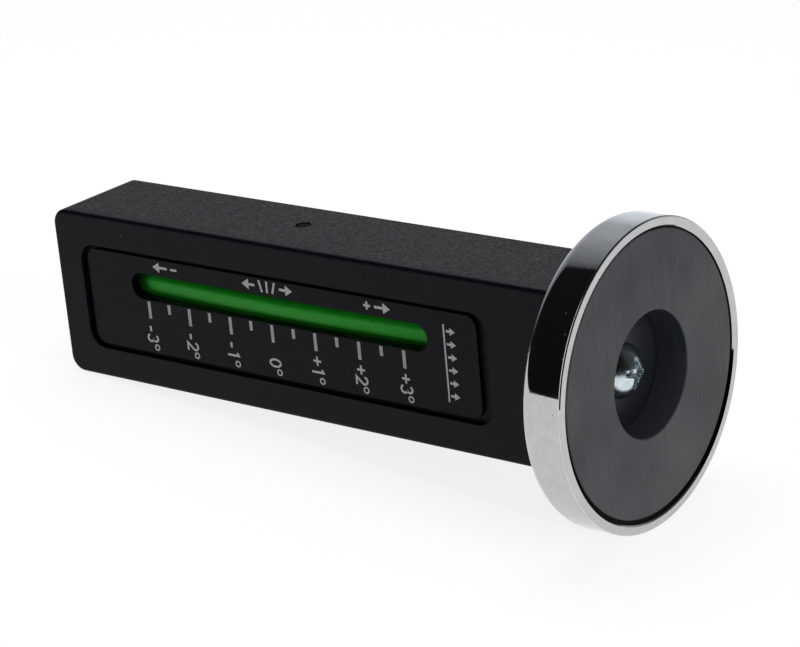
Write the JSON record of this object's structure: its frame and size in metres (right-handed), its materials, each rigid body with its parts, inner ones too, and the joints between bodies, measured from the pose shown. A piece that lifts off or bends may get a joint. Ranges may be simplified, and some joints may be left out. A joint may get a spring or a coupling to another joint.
{
  "type": "camber caster gauge",
  "caption": "Bar-shaped magnetic wheel-angle gauge with a long curved bubble vial behind a windowed degree scale and a round cup magnet on one end.",
  "frame": {"origin": "centre of the magnet's working face", "axes": "+X points out of the working face and away from the housing, -Y is the side with the dial, +Z runs across the dial"},
  "size_m": [0.1587, 0.067, 0.067],
  "materials": {
    "housing": "fine-textured moulded black",
    "dark_screws": "blackened steel",
    "dial": "smooth satin black",
    "tape": "double-sided foam tape",
    "ink": "printed pale grey",
    "vial": "clear moulded tube",
    "fluid": "clear green liquid",
    "air": "air bubble",
    "plug": "moulded plug",
    "cradle": "moulded black",
    "zinc": "bright zinc plate",
    "cup": "bright chrome plate",
    "ferrite": "ground ceramic",
    "glue": "black adhesive"
  },
  "bodies": {
    "gauge": {"body_shell": "housing", "back_cover": "housing", "cover_screws": "dark_screws", "dial_plate": "dial", "dial_tape": "tape", "scale_marks": "ink", "vial_tube": "vial", "vial_fluid": "fluid", "vial_plug_far": "plug", "vial_plug_near": "plug", "vial_cradle": "cradle", "cradle_screws": "zinc", "magnet_cup": "cup", "ferrite_ring": "ferrite", "ring_adhesive": "glue", "centre_screw": "zinc", "captive_nut": "zinc"},
    "bubble": {"bubble": "air"}
  },
  "joints": [
    {"name": "bubble_travel", "type": "hinge", "parent": "gauge", "child": "bubble", "pos_m": [-0.09355, 0.7089, 0.0044], "axis": [0, 0, 1], "range_deg": [-7.89, 0]}
  ]
}
